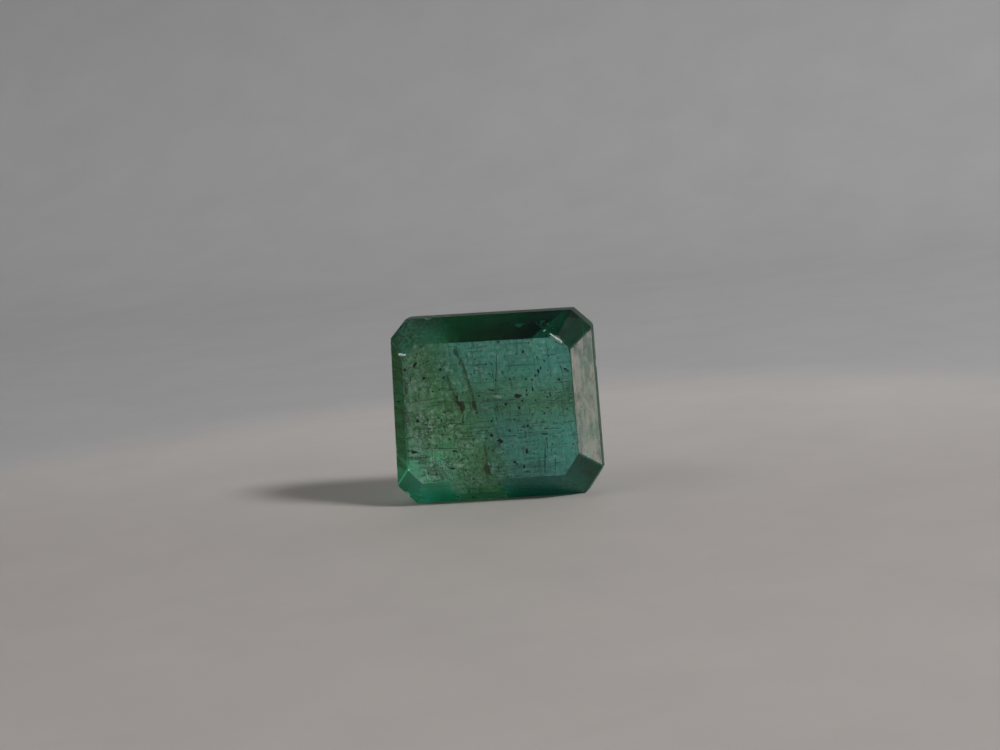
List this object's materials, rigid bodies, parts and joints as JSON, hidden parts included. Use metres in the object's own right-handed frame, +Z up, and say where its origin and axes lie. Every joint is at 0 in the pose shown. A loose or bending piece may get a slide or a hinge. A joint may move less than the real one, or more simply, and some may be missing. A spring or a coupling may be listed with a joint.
{
  "type": "cut emerald gemstone",
  "caption": "Loose octagonal step-cut green gemstone with a flat table, sloping crown facets, a flat girdle band and a shallow stepped pavilion ending in a keel.",
  "frame": {"origin": "middle of the lower girdle facet that the stone stands on", "axes": "+Z up, +X across the stone to the viewer's right when looking at the table, -Y out of the table, +Y towards the keel"},
  "size_m": [0.0104, 0.005, 0.009],
  "materials": {
    "emerald": "polished, cloudy green with teal on one side"
  },
  "bodies": {
    "root": {"emerald": "emerald"}
  },
  "joints": []
}
